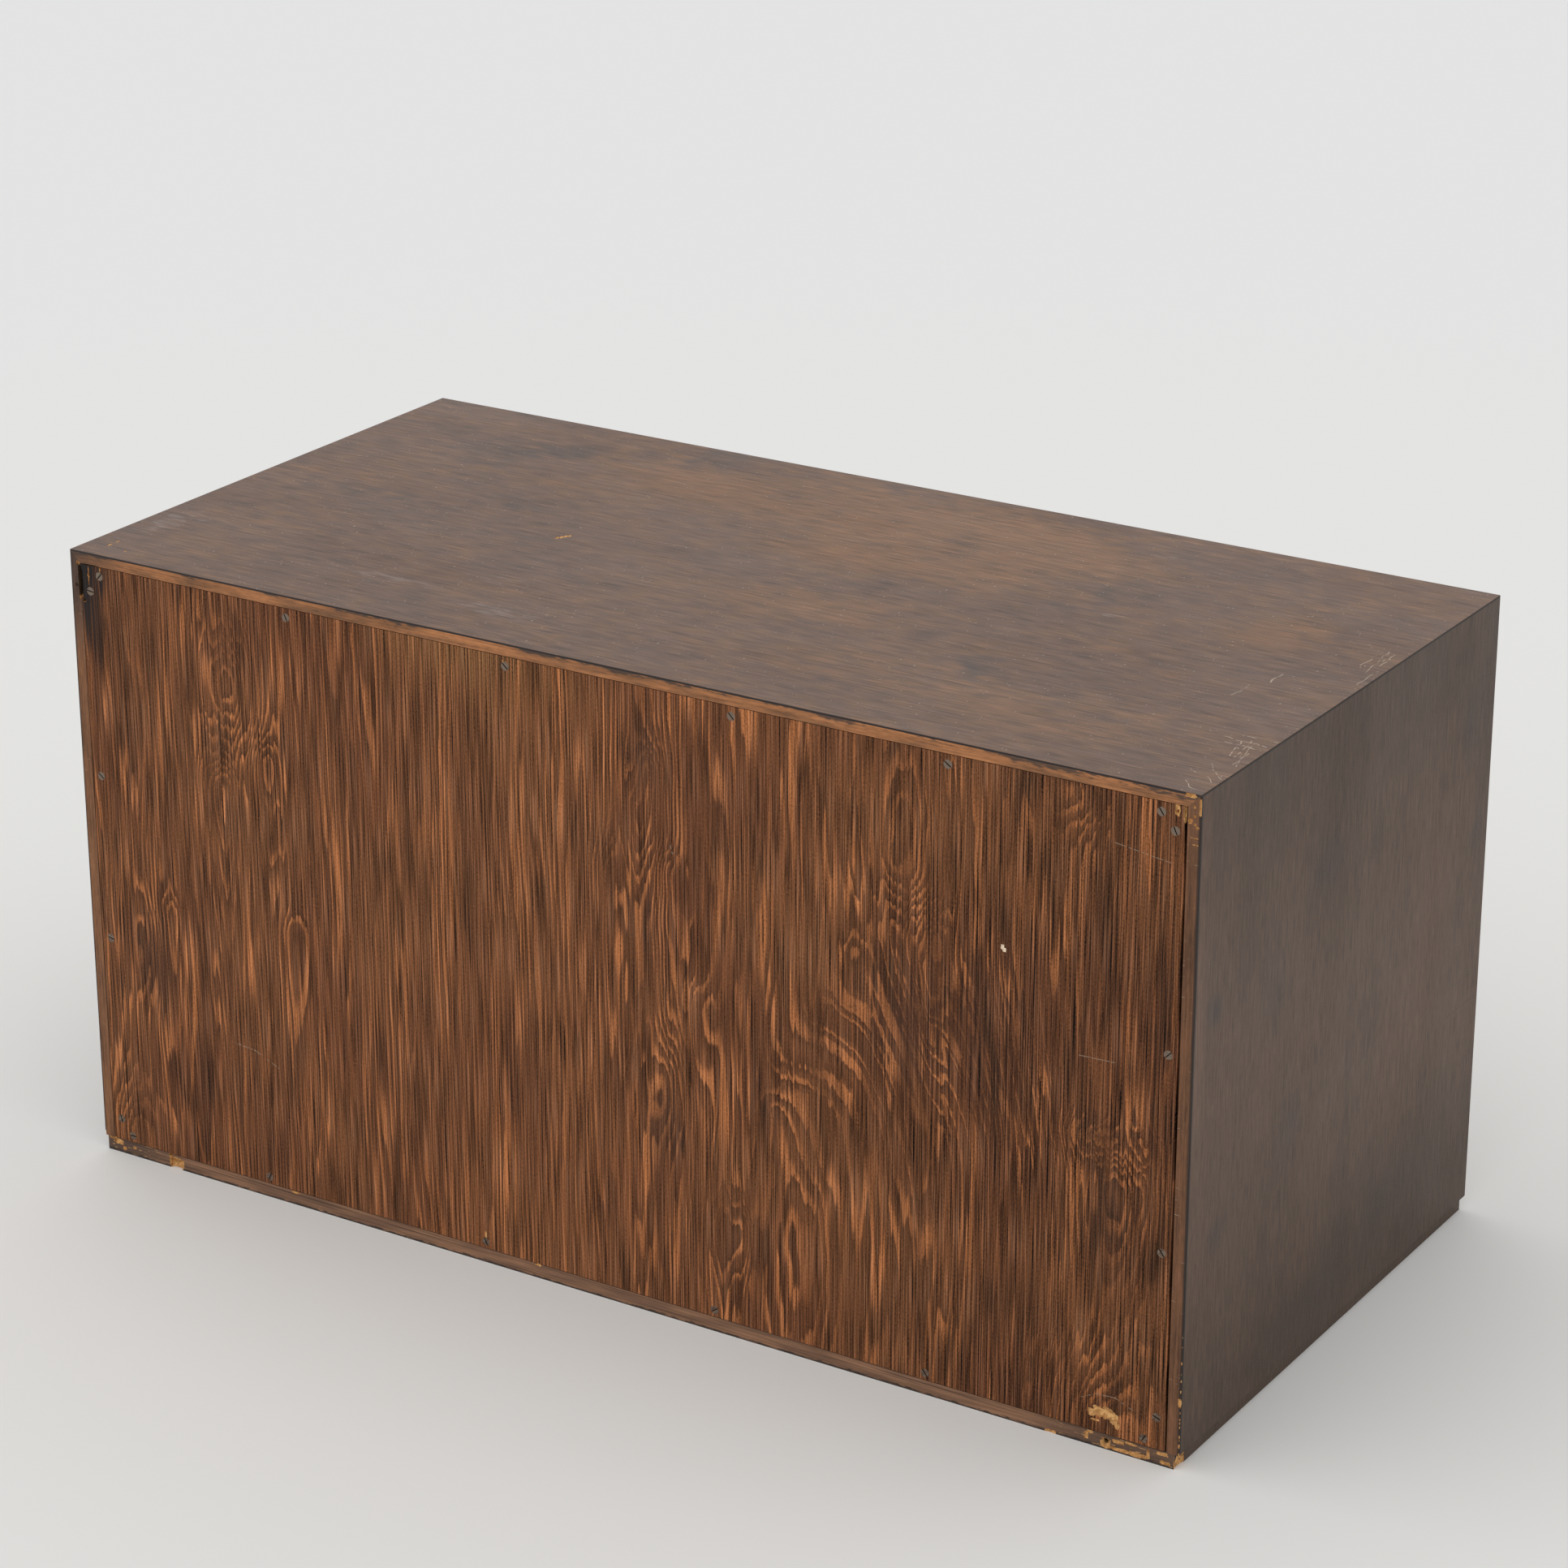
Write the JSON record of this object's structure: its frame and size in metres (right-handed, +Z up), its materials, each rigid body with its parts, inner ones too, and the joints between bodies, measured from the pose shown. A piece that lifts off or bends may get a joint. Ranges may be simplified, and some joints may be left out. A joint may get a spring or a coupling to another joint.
{
  "type": "low wooden cabinet",
  "caption": "Low dark-veneered wooden cabinet with a screwed-on plywood back, a shelved cupboard behind a hinged door, and a bank of dovetailed drawers on wooden runners.",
  "frame": {"origin": "on the floor, under the middle of the case's footprint", "axes": "+X right seen from the front, the front faces -Y, +Z up"},
  "size_m": [1, 0.522, 0.522],
  "materials": {
    "veneer": "dark stained veneer, satin",
    "back_plywood": "stained rotary-cut softwood plywood, matt",
    "birch": "solid birch, thin varnish",
    "pale_plywood": "birch plywood",
    "beech": "solid beech, waxed",
    "knob_wood": "turned, dark stained",
    "brass": "aged brass",
    "steel": "aged steel",
    "catch_housing": "brown enamel"
  },
  "bodies": {
    "case": {"top_panel": "veneer", "bottom_panel": "veneer", "left_side_panel": "veneer", "right_side_panel": "veneer", "centre_partition": "veneer", "back_panel": "back_plywood", "back_screws": "steel", "left_mitre_tongue": "pale_plywood", "right_mitre_tongue": "pale_plywood", "side_dowels": "beech", "shelf": "veneer", "shelf_pegs": "brass", "catch_magnet": "catch_housing", "catch_screws": "steel", "hinge_case_screws": "brass", "runner_screws": "steel", "upper_hinge_case_leaf": "brass", "upper_hinge_pin": "brass", "lower_hinge_case_leaf": "brass", "lower_hinge_pin": "brass", "bottom_drawer_left_runner": "beech", "bottom_drawer_right_runner": "beech", "middle_drawer_left_runner": "beech", "middle_drawer_right_runner": "beech", "top_drawer_left_runner": "beech", "top_drawer_right_runner": "beech"},
    "door": {"door_panel": "veneer", "door_knob": "knob_wood", "door_knob_screw": "steel", "catch_plate": "steel", "catch_plate_screws": "steel", "hinge_door_screws": "brass", "upper_hinge_door_leaf": "brass", "lower_hinge_door_leaf": "brass"},
    "bottom_drawer": {"bottom_drawer_front": "veneer", "bottom_drawer_left_side": "birch", "bottom_drawer_right_side": "birch", "bottom_drawer_back": "birch", "bottom_drawer_bottom": "pale_plywood", "bottom_drawer_bottom_screws": "steel", "bottom_drawer_knob": "knob_wood", "bottom_drawer_knob_screw": "steel"},
    "middle_drawer": {"middle_drawer_front": "veneer", "middle_drawer_left_side": "birch", "middle_drawer_right_side": "birch", "middle_drawer_back": "birch", "middle_drawer_bottom": "pale_plywood", "middle_drawer_bottom_screws": "steel", "middle_drawer_knob": "knob_wood", "middle_drawer_knob_screw": "steel"},
    "top_drawer": {"top_drawer_front": "veneer", "top_drawer_left_side": "birch", "top_drawer_right_side": "birch", "top_drawer_back": "birch", "top_drawer_bottom": "pale_plywood", "top_drawer_bottom_screws": "steel", "top_drawer_knob": "knob_wood", "top_drawer_knob_screw": "steel"}
  },
  "joints": [
    {"name": "door_hinge", "type": "hinge", "parent": "case", "child": "door", "pos_m": [-0.474, -0.2509, 0.261], "axis": [0, 0, -1], "range_deg": [0, 175]},
    {"name": "bottom_drawer_slide", "type": "slide", "parent": "case", "child": "bottom_drawer", "axis": [0, -1, 0], "range_m": [0, 0.33]},
    {"name": "middle_drawer_slide", "type": "slide", "parent": "case", "child": "middle_drawer", "axis": [0, -1, 0], "range_m": [0, 0.33]},
    {"name": "top_drawer_slide", "type": "slide", "parent": "case", "child": "top_drawer", "axis": [0, -1, 0], "range_m": [0, 0.33]}
  ]
}
